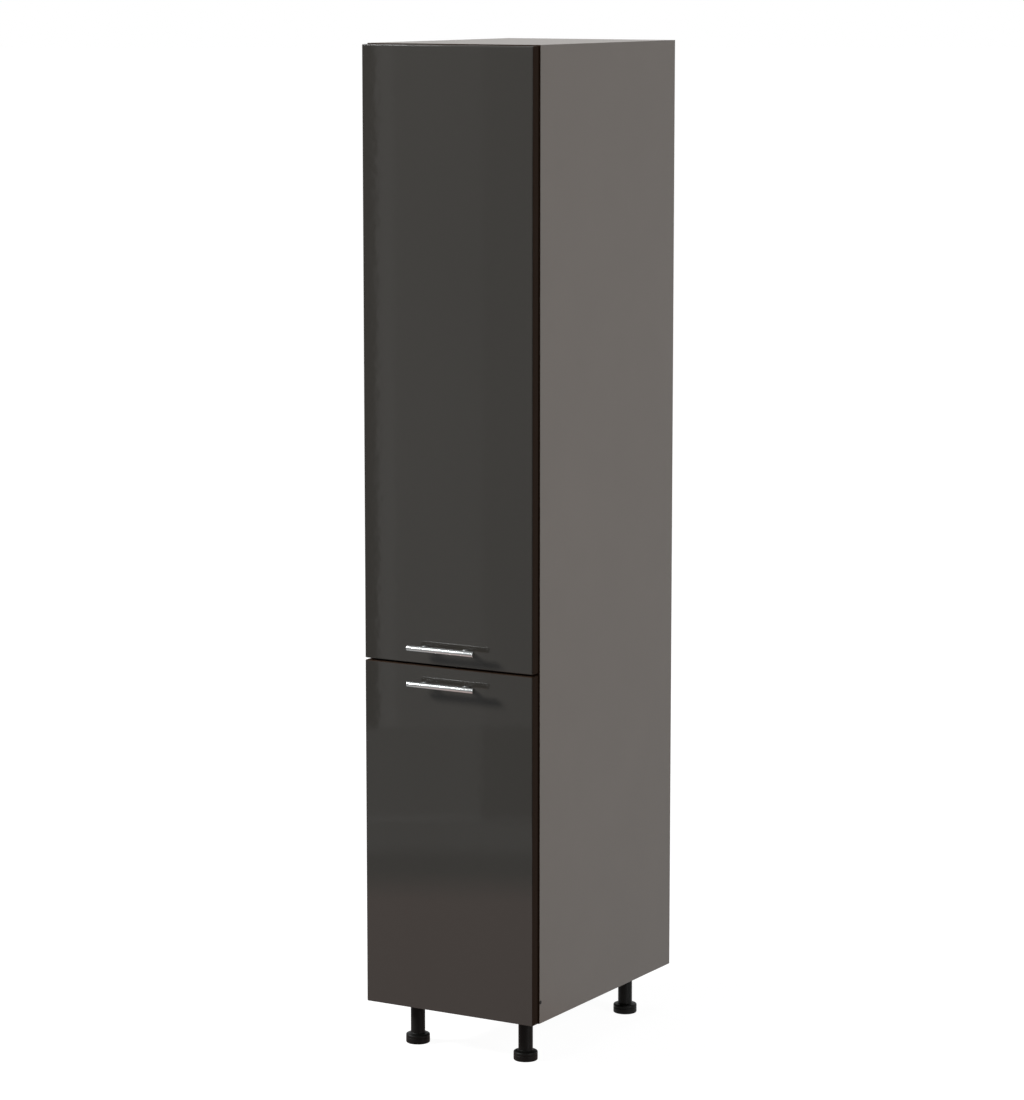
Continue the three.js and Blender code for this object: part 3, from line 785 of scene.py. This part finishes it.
BOARD_AXIS = {
    "side_panel_left": "X", "side_panel_right": "X", "base_panel": "Z", "top_panel": "Z",
    "back_panel": "Y", "upper_fixing_rail": "Y", "lower_fixing_rail": "Y",
}
BOARD_CORNER, BOARD_EDGE = 0.8 * MM, 0.3 * MM
# The dark strip on the boards' front edges: an edge band, also painted shade for the gaps round the
# fronts.
DARK_STRIP_CORNER, DARK_STRIP_EDGE = 0.6 * MM, 0.5 * MM
DARK_STRIP_THICKNESS = 2.0 * MM
BOARD_STEPS = 3
FRONT_REACH = 0.5 * MM              # boards that start this close to the front plane get the dark strip


def dress_boards(melamine, edge_and_shade):
    """Boards with barely broken edges. Those that reach the front plane have a thick dark strip there, a
    piece of its own in front of the board: an edge band that is also painted shade for the gaps round
    the fronts."""
    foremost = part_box("side_panel_left")[0][1]
    for node, axis in BOARD_AXIS.items():
        low, high = (np.array(corner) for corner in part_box(node))
        parts = []
        if low[1] < foremost + FRONT_REACH:
            dark_strip_back = high.copy()
            dark_strip_back[1] = low[1] + DARK_STRIP_THICKNESS
            parts.append(slab(low, dark_strip_back, axis, DARK_STRIP_CORNER, DARK_STRIP_EDGE, DARK_STRIP_EDGE, BOARD_STEPS))
            low[1] = dark_strip_back[1]
        parts.append(slab(low, high, axis, BOARD_CORNER, BOARD_EDGE, BOARD_EDGE, BOARD_STEPS))
        piece = new_piece(f"{node}_board", *merged(parts), [melamine, edge_and_shade], "cabinet")
        dark_edged = len(parts) == 2
        index = np.zeros(len(piece.data.polygons), int)
        index[:len(parts[0][1])] = dark_edged
        piece.data.polygons.foreach_set("material_index", index)
        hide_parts(node)


PLUG_PROUD = 0.3 * MM               # how far the cap stands out of the panel's face
PLUG_EDGE = 0.25 * MM
PLUG_DISH = 0.2 * MM
DISH_MOUTH, DISH_FLOOR = 0.7, 0.6   # as shares of the plug's radius


def dress_plugs(plastic):
    """Each plug stands just proud of its panel, with a soft rim round a shallow dish."""
    for side, direction in (("left", -1), ("right", 1)):
        node = f"edge_plug_{side}"
        low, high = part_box(node)
        middle = (low + high) / 2
        radius, length = (high[2] - low[2]) / 2, high[0] - low[0] + PLUG_PROUD
        inner_x = high[0] if direction == -1 else low[0]
        profile = filleted([
            (0, 0, 0), (radius, 0, 0), (radius, length, PLUG_EDGE),
            (DISH_MOUTH * radius, length, PLUG_EDGE),
            (DISH_FLOOR * radius, length - PLUG_DISH, PLUG_DISH), (0, length - PLUG_DISH, 0),
        ])
        shape = turned(profile, (inner_x, middle[1], middle[2]), (direction, 0, 0), sides=40)
        piece = new_piece(f"{node}_cap", *shape, [plastic], "cabinet")
        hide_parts(node)


BUFFER_DOME = 0.9 * MM


def dress_buffers(rubber):
    """Each buffer is a short peg with a domed face towards the front."""
    for end in FRONTS:
        for side in SIDES:
            node = f"front_buffer_{end}_{side}"
            low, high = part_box(node)
            middle = (low + high) / 2
            radius, length = (high[0] - low[0]) / 2, high[1] - low[1]
            profile = filleted([(0, 0, 0), (radius, 0, 0), (radius, length, BUFFER_DOME),
                                (0, length, 0)])
            shape = turned(profile, (middle[0], high[1], middle[2]), (0, -1, 0), sides=32)
            piece = new_piece(f"{node}_peg", *shape, [rubber], "cabinet")
            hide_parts(node)


# ---- Legs ------------------------------------------------------------------------------------

LEG_SIDES = 56
PAD_THICKNESS = 20 * MM
PAD_EDGE = 2.5 * MM                 # the fillet round its underside
PAD_CROWN, PAD_SHOULDER = 1 * MM, 3 * MM        # how far its top rises, and the fillet round that
# The groove round the pad: the levels of its lower lip, of its floor from and to, and of its upper lip.
GROOVE_LEVELS = (11.2 * MM, 11.6 * MM, 12.4 * MM, 12.8 * MM)
GROOVE_DEPTH = 0.7 * MM
GROOVE_LIP, GROOVE_ROOT = 0.3 * MM, 0.2 * MM    # fillets
STEM_RADIUS = 15 * MM
STEM_TOP_FILLET = 0.8 * MM
WAIST, WAIST_FILLET = 1.5 * MM, 0.5 * MM        # the cone between the pad and the stem
COLLAR_RADIUS = 20 * MM
COLLAR_EDGE, COLLAR_ROOT = 1 * MM, 1.5 * MM     # fillets
SOCKET_FLANGE = 4 * MM
FLANGE_EDGE = 1.2 * MM              # fillet
SOCKET_SCREWS = 4


def foot_profile(radius, top):
    """The wide pad with its soft rims and a fine groove, a small waist, and the plain stem."""
    lower_lip, floor_start, floor_end, upper_lip = GROOVE_LEVELS
    return filleted([
        (0, 0, 0), (radius, 0, PAD_EDGE),
        (radius, lower_lip, GROOVE_LIP), (radius - GROOVE_DEPTH, floor_start, GROOVE_ROOT),
        (radius - GROOVE_DEPTH, floor_end, GROOVE_ROOT), (radius, upper_lip, GROOVE_LIP),
        (radius, PAD_THICKNESS - PAD_CROWN, PAD_SHOULDER),
        (STEM_RADIUS + WAIST, PAD_THICKNESS, WAIST_FILLET),
        (STEM_RADIUS, PAD_THICKNESS + WAIST, WAIST_FILLET),
        (STEM_RADIUS, top, STEM_TOP_FILLET), (0, top, 0),
    ])


def dress_legs(plastic, zinc):
    """Each leg is a foot and a socket, both turned about the leg's axis: the socket is a collar under
    a flange, which a ring of screws holds to the base panel."""
    screws = []
    for row in ROWS:
        for side in SIDES:
            node = f"foot_{row}_{side}"
            low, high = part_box(node)
            x, y = (low[0] + high[0]) / 2, (low[1] + high[1]) / 2
            profile = foot_profile((high[0] - low[0]) / 2, high[2] - low[2])
            shape = turned(profile, (x, y, low[2]), (0, 0, 1), LEG_SIDES)
            foot = new_piece(f"{node}_moulding", *shape, [plastic], node)
            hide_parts(node)
            node = f"leg_socket_{row}_{side}"
            near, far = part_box(node)
            under, flange = high[2], far[2]
            radius = (far[0] - near[0]) / 2
            collar_top = flange - SOCKET_FLANGE - under
            profile = filleted([
                (0, 0, 0), (COLLAR_RADIUS, 0, COLLAR_EDGE), (COLLAR_RADIUS, collar_top, COLLAR_ROOT),
                (radius, collar_top, FLANGE_EDGE), (radius, flange - under, 0), (0, flange - under, 0),
            ])
            shape = turned(profile, (x, y, under), (0, 0, 1), LEG_SIDES)
            socket = new_piece(f"{node}_moulding", *shape, [plastic], "cabinet")
            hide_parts(node)
            reach, level = (COLLAR_RADIUS + radius) / 2, flange - SOCKET_FLANGE
            for turn in range(SOCKET_SCREWS):
                angle = math.pi / 4 + turn * 2 * math.pi / SOCKET_SCREWS
                place = (x + reach * math.cos(angle), y + reach * math.sin(angle), level)
                screws.append(pan_head(place, (0, 0, -1), SMALL_SCREW_RADIUS))
    piece = new_piece("socket_screws", *merged(screws), [zinc], "cabinet")


# ---- Sheet metal -----------------------------------------------------------------------------

SHARP_BEND = math.radians(40)       # edges that bend more than this are shaded as sharp


def folded_sheet(points, bend, thickness, y_low, y_high):
    """Vertices and faces of sheet metal folded along Y. Its section is a bent line in X and Z with
    half the thickness to each side, measured square to the line."""
    path = rounded_path(points, bend)
    step = np.gradient(path, axis=0)
    normal = unit(np.stack([step[:, 1], -step[:, 0]], -1))
    outline = np.concatenate([path + normal * thickness / 2, (path - normal * thickness / 2)[::-1]])
    columns = len(outline)
    rings = np.empty((2, columns, 3))
    rings[:, :, 0], rings[:, :, 2] = outline[:, 0], outline[:, 1]
    rings[0, :, 1], rings[1, :, 1] = y_low, y_high
    return rings.reshape(-1, 3), grid_faces(2, columns) + cap_faces(2, columns)


def crisp(piece):
    """Turns the faces of a closed piece outwards, and shades its sharp bends as edges."""
    edit = bmesh.new()
    edit.from_mesh(piece.data)
    bmesh.ops.recalc_face_normals(edit, faces=edit.faces)
    edit.to_mesh(piece.data)
    edit.free()
    piece.data.shade_smooth()
    piece.data.set_sharp_from_angle(angle=SHARP_BEND)


RUNNER_WALL = {"bottom": 2.5 * MM, "top": 2.0 * MM}
RUNNER_LIP = {"bottom": 12 * MM, "top": 8 * MM}
RUNNER_BEND = 2 * MM
RUNNER_GAP = 0.5 * MM               # between the moving member's shoulders and the middle member's lips
STEM_CLEARANCE = 4 * MM             # from those lips to the stepped member's stem


def dress_runners(zinc):
    """Each member is one folded sheet: two channels with inward lips, and a stepped one that rises
    through their slot. The top set is the bottom one turned over."""
    for which in ("bottom", "top"):
        wall, lip = RUNNER_WALL[which], RUNNER_LIP[which]
        up = 1 if which == "bottom" else -1
        bodies = {"fixed": "cabinet", "middle": f"{which}_middle_member", "moving": "pull_out"}
        for member, body in bodies.items():
            node = f"{which}_runner_{member}"
            low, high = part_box(node)
            seat, top = (low[2], high[2]) if up == 1 else (high[2], low[2])
            side, rim = high[0] - wall / 2, top - up * wall / 2
            if member == "moving":
                channel_low, channel_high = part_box(f"{which}_runner_middle")
                channel_top = channel_high[2] if up == 1 else channel_low[2]
                slot = channel_high[0] - wall - lip - STEM_CLEARANCE - wall / 2
                shoulder = channel_top - up * (wall + RUNNER_GAP) - up * wall / 2
                half = [(side, seat), (side, shoulder), (slot, shoulder), (slot, rim)]
            else:
                slot = high[0] - wall - lip
                half = [(slot, rim), (side, rim), (side, seat + up * wall / 2)]
            points = half + [(-x, z) for x, z in half[::-1]]
            shape = folded_sheet(points, RUNNER_BEND, wall, low[1], high[1])
            piece = new_piece(f"{node}_profile", *shape, [zinc], body)
            crisp(piece)
            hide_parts(node)


PLATE_THICKNESS = 2.5 * MM
PLATE_BEND = 3 * MM
PLATE_SCREW_X = 14 * MM             # of the two rows of screws that hold a plate to its runner
PLATE_SCREW_END = 60 * MM           # from a plate's ends to the first and last screw
PLATE_SCREWS = 4                    # in each row


def dress_frame_plates(powder, zinc):
    """The frame's base and top: a sheet whose long edges are folded away from the baskets."""
    screws = []
    for node, fold in (("frame_base", -1), ("frame_top", 1)):
        low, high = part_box(node)
        face, edge = (high[2], low[2]) if fold == -1 else (low[2], high[2])
        flat = face + fold * PLATE_THICKNESS / 2
        side = high[0] - PLATE_THICKNESS / 2
        points = [(-side, edge), (-side, flat), (side, flat), (side, edge)]
        shape = folded_sheet(points, PLATE_BEND, PLATE_THICKNESS, low[1], high[1])
        piece = new_piece(f"{node}_sheet", *shape, [powder], "pull_out")
        crisp(piece)
        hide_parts(node)
        for x in (-PLATE_SCREW_X, PLATE_SCREW_X):
            for y in np.linspace(low[1] + PLATE_SCREW_END, high[1] - PLATE_SCREW_END, PLATE_SCREWS):
                screws.append(pan_head((x, y, face), (0, 0, -fold), SCREW_RADIUS))
    piece = new_piece("runner_screws", *merged(screws), [zinc], "pull_out")


SLOT_PITCH = 32 * MM
SLOT_HEIGHT = 14 * MM
SLOT_WIDTH = 6 * MM
TUBE_WALL = 2 * MM
TUBE_CORNER = 2.5 * MM
TUBE_STEPS = 3


def slotted_tube(low, high):
    """A rectangular tube with a ladder of slots through its two X faces. Outer and inner skins are
    one section carried up the same levels; the cells at the slots are left out and lined."""
    middle, half = (np.array(low) + high) / 2, (np.array(high) - low) / 2
    outer = rounded_outline(half[0], half[1], TUBE_CORNER, TUBE_STEPS)
    inner = rounded_outline(half[0] - TUBE_WALL, half[1] - TUBE_WALL, TUBE_CORNER - TUBE_WALL / 2,
                            TUBE_STEPS)

    def with_slots(outline, reach):
        """The outline, starting at the slot in the +X face, with both slots' edges added."""
        half_way = len(outline) // 4 * 2
        edge = SLOT_WIDTH / 2
        slot = np.array([[reach, -edge], [reach, edge]])
        return np.concatenate([slot, outline[:half_way], -slot, outline[half_way:]])

    outer, inner = with_slots(outer, half[0]), with_slots(inner, half[0] - TUBE_WALL)
    columns = len(outer)
    slot_columns = (0, columns // 2)
    count = int((high[2] - low[2] - 2 * SLOT_PITCH) / SLOT_PITCH)
    start = middle[2] - (count - 1) * SLOT_PITCH / 2
    centres = start + SLOT_PITCH * np.arange(count)
    edges = np.stack([centres - SLOT_HEIGHT / 2, centres + SLOT_HEIGHT / 2], -1).reshape(-1)
    levels = np.concatenate([[low[2]], edges, [high[2]]])
    rows = len(levels)
    skins = []
    for section in (outer, inner):
        points = np.empty((rows, columns, 3))
        points[:, :, :2] = section + middle[:2]
        points[:, :, 2] = levels[:, None]
        skins.append(points.reshape(-1, 3))
    offset = rows * columns
    row, column = np.meshgrid(np.arange(rows - 1), np.arange(columns), indexing="ij")
    open_cell = (row % 2 == 1) & np.isin(column, slot_columns)
    here, beside = row * columns + column, row * columns + (column + 1) % columns
    quads = np.stack([here, beside, beside + columns, here + columns], -1)
    solid, holes = quads[~open_cell], quads[open_cell]
    faces = solid.tolist() + (solid[:, ::-1] + offset).tolist()
    for i in range(4):
        one, next_one = holes[:, i], holes[:, (i + 1) % 4]
        faces += np.stack([one, next_one, next_one + offset, one + offset], -1).tolist()
    ring = np.arange(columns)
    following = (ring + 1) % columns
    top = (rows - 1) * columns
    for one, next_one in ((following, ring), (top + ring, top + following)):
        faces += np.stack([one, next_one, next_one + offset, one + offset], -1).tolist()
    return np.concatenate(skins), faces


def dress_uprights(powder):
    """The four uprights of the frame are slotted tubes."""
    for row in ROWS:
        for side in SIDES:
            node = f"upright_{row}_{side}"
            piece = new_piece(f"{node}_tube", *slotted_tube(*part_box(node)), [powder], "pull_out")
            crisp(piece)
            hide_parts(node)


BRACKET_CORNER, BRACKET_EDGE = 3 * MM, 0.4 * MM
BRACKET_SCREWS = (-100 * MM, -70 * MM, 70 * MM, 100 * MM)


def dress_brackets(zinc):
    """Flat cross brackets with their screws into the front."""
    for which in FRONTS:
        screws = []
        for end in ("bottom", "top"):
            node = f"{which}_bracket_{end}"
            low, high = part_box(node)
            shape = slab(low, high, "Y", BRACKET_CORNER, BRACKET_EDGE, BRACKET_EDGE, steps=3)
            piece = new_piece(f"{node}_flat", *shape, [zinc], "pull_out")
            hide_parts(node)
            level = (low[2] + high[2]) / 2
            for x in BRACKET_SCREWS:
                screws.append(pan_head((x, high[1], level), (0, 1, 0), SCREW_RADIUS))
        piece = new_piece(f"{which}_bracket_screws", *merged(screws), [zinc], "pull_out")


# ---- Baskets ---------------------------------------------------------------------------------

RAIL_RADIUS, RAIL_SIDES = 3 * MM, 14
WIRE_RADIUS, WIRE_SIDES = 1.9 * MM, 10
WIRE_BEND = 7 * MM
WELD = 0.3 * MM                     # how deep a wire is sunk in what it is welded to
RAIL_WELD = 1 * MM                  # how deep a rail is sunk in the hanger plates
BASKET_CORNER = 14 * MM
MIDDLE_RAIL = 52 * MM               # its level above the basket's bottom
SIDE_WIRES = 10
SIDE_WIRE_MARGIN = 4 * MM           # from the rail's corners to the first and last wire
END_WIRES = 5
END_WIRE_PITCH = 45 * MM
HANGER_WIDTH = 46 * MM
HANGER_THICKNESS = 3 * MM
HANGER_CORNER, HANGER_EDGE = 5 * MM, 0.5 * MM
HANGER_SCREW_X = 10 * MM            # from a plate's outer edge
HANGER_SCREW_RISE, HANGER_SCREW_DROP = 28 * MM, 22 * MM     # from a plate's bottom and from its top
LINER_CORNER, LINER_UNDER_EDGE, LINER_TOP_EDGE = 10 * MM, 0.8 * MM, 1.5 * MM


def ring_path(half_x, half_y, centre, level):
    """The centre line of a rail: a rectangle with rounded corners at one level."""
    outline = rounded_outline(half_x, half_y, BASKET_CORNER, steps=6)
    return np.column_stack([outline + centre, np.full(len(outline), level)])


def cradle(reach, floor, top):
    """A wire that comes down, crosses under the liner and goes up again, as (across, height)."""
    corners = [(-reach, top), (-reach, floor), (reach, floor), (reach, top)]
    return rounded_path(corners, WIRE_BEND, steps=5)


def dress_baskets(chrome, liner, zinc):
    """Three rails, wires that pass from rim to rim under the liner, and a screwed plate at each
    corner that hangs the basket on its upright."""
    for number in BASKETS:
        node = f"basket_{number}"
        low, high = (np.array(corner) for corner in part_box(node))
        middle = (low + high) / 2
        half_x = (high[0] - low[0]) / 2 - RAIL_RADIUS
        half_y = (high[1] - low[1]) / 2 - HANGER_THICKNESS + RAIL_WELD - RAIL_RADIUS
        rim, floor = high[2] - RAIL_RADIUS, low[2] + RAIL_RADIUS
        parts = []
        for level in (floor, low[2] + MIDDLE_RAIL, rim):
            ring = ring_path(half_x, half_y, middle[:2], level)
            parts.append(tube(ring, RAIL_RADIUS, RAIL_SIDES, closed=True))
        inset = RAIL_RADIUS + WIRE_RADIUS - WELD
        run = half_y - BASKET_CORNER - SIDE_WIRE_MARGIN
        across, height = cradle(half_x - inset, floor, rim).T
        for y in np.linspace(-run, run, SIDE_WIRES):
            wire = np.column_stack([across + middle[0], np.full(len(across), middle[1] + y), height])
            parts.append(tube(wire, WIRE_RADIUS, WIRE_SIDES))
        across, height = cradle(half_y - inset, floor - 2 * WIRE_RADIUS + WELD, rim).T
        for i in range(END_WIRES):
            x = (i - (END_WIRES - 1) / 2) * END_WIRE_PITCH
            wire = np.column_stack([np.full(len(across), middle[0] + x), across + middle[1], height])
            parts.append(tube(wire, WIRE_RADIUS, WIRE_SIDES))
        screws = []
        for end, face in ((-1, low[1]), (1, high[1])):
            inner = face - end * HANGER_THICKNESS
            y_range = sorted((face, inner))
            for side, outer_x in ((-1, low[0]), (1, high[0])):
                x_range = sorted((outer_x, outer_x - side * HANGER_WIDTH))
                corners = (x_range[0], y_range[0], low[2]), (x_range[1], y_range[1], high[2])
                parts.append(slab(*corners, "Y", HANGER_CORNER, HANGER_EDGE, HANGER_EDGE, steps=4))
                for level in (low[2] + HANGER_SCREW_RISE, high[2] - HANGER_SCREW_DROP):
                    place = (outer_x - side * HANGER_SCREW_X, inner, level)
                    screws.append(pan_head(place, (0, -end, 0), SCREW_RADIUS))
        piece = new_piece(f"{node}_wirework", *merged(parts), [chrome], "pull_out")
        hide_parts(node)
        fixings = new_piece(f"{node}_screws", *merged(screws), [zinc], "pull_out")
        node = f"basket_liner_{number}"
        shape = slab(*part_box(node), "Z", LINER_CORNER, LINER_UNDER_EDGE, LINER_TOP_EDGE, steps=4)
        board = new_piece(f"{node}_board", *shape, [liner], "pull_out")
        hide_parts(node)


# ---- The whole unit --------------------------------------------------------------------------

def main():
    """The stage, then every piece in the finish of its own kind."""
    make_camera()
    make_floor()
    make_world()
    make_lights()
    steel, plastic, zinc, powder = polished_steel(), black_plastic(), zinc_sheet(), silver_powder()
    # The dark edge band is partly painted shade on the edges round the fronts.
    edge_and_shade, melamine = edge_band_and_painted_shade(), taupe_melamine()
    dress_fronts(gloss_graphite(), edge_and_shade, satin_graphite())
    dress_handles(steel)
    dress_handle_screws(zinc)
    dress_boards(melamine, edge_and_shade)
    dress_plugs(plastic)
    dress_buffers(grey_rubber())
    dress_legs(plastic, zinc)
    dress_runners(zinc)
    dress_frame_plates(powder, zinc)
    dress_uprights(powder)
    dress_brackets(zinc)
    dress_baskets(chromed_wire(), pale_liner(), zinc)
    bpy.context.scene.view_settings.view_transform = "Standard"


main()
